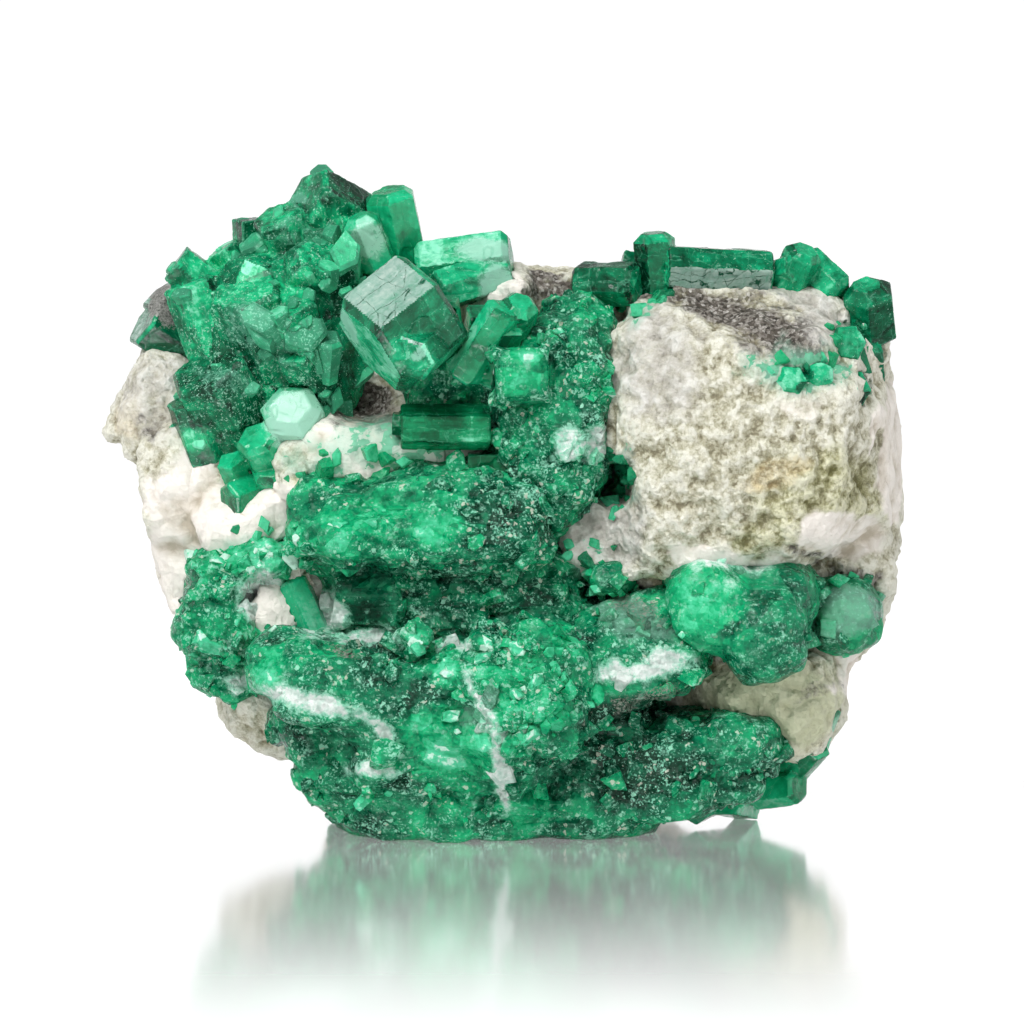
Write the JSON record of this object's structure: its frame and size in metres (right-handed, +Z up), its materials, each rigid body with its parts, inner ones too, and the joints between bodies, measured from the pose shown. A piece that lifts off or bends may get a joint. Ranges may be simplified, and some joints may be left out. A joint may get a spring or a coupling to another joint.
{
  "type": "emerald in matrix",
  "caption": "Hand specimen of green emerald crystals and massive emerald set in white vein rock and dark schist, standing on a flat broken base.",
  "frame": {"origin": "middle of the footprint on the resting plane, under the middle of the specimen's bounding box", "axes": "+X to the right of the display side, -Y out of the display side, +Z up"},
  "size_m": [0.0801, 0.0445, 0.0656],
  "materials": {
    "emerald_crystal": "satin",
    "clear_emerald": "gloss",
    "massive_emerald": "satin",
    "matrix_rock": "matte"
  },
  "bodies": {
    "root": {"corner_crystals": "clear_emerald", "dark_prism": "clear_emerald", "edge_crystals": "emerald_crystal", "edge_patch_crystal": "emerald_crystal", "emerald_ledges": "massive_emerald", "granular_emerald": "massive_emerald", "green_nodules": "massive_emerald", "large_hexagonal_crystal": "emerald_crystal", "left_gem_crystals": "clear_emerald", "left_prism": "emerald_crystal", "lower_left_emerald": "massive_emerald", "matrix_rock": "matrix_rock", "paired_crystals": "emerald_crystal", "pale_top_crystal": "emerald_crystal", "ridge_block_crystal": "emerald_crystal", "ridge_cluster": "emerald_crystal", "ridge_prisms": "emerald_crystal", "right_nodule": "massive_emerald", "slanted_crystals": "clear_emerald", "small_dark_prism": "clear_emerald", "small_nodule": "massive_emerald", "small_top_gem": "clear_emerald", "top_gem_crystal": "clear_emerald", "upper_left_cluster": "emerald_crystal", "vein_crystal": "clear_emerald"}
  },
  "joints": []
}
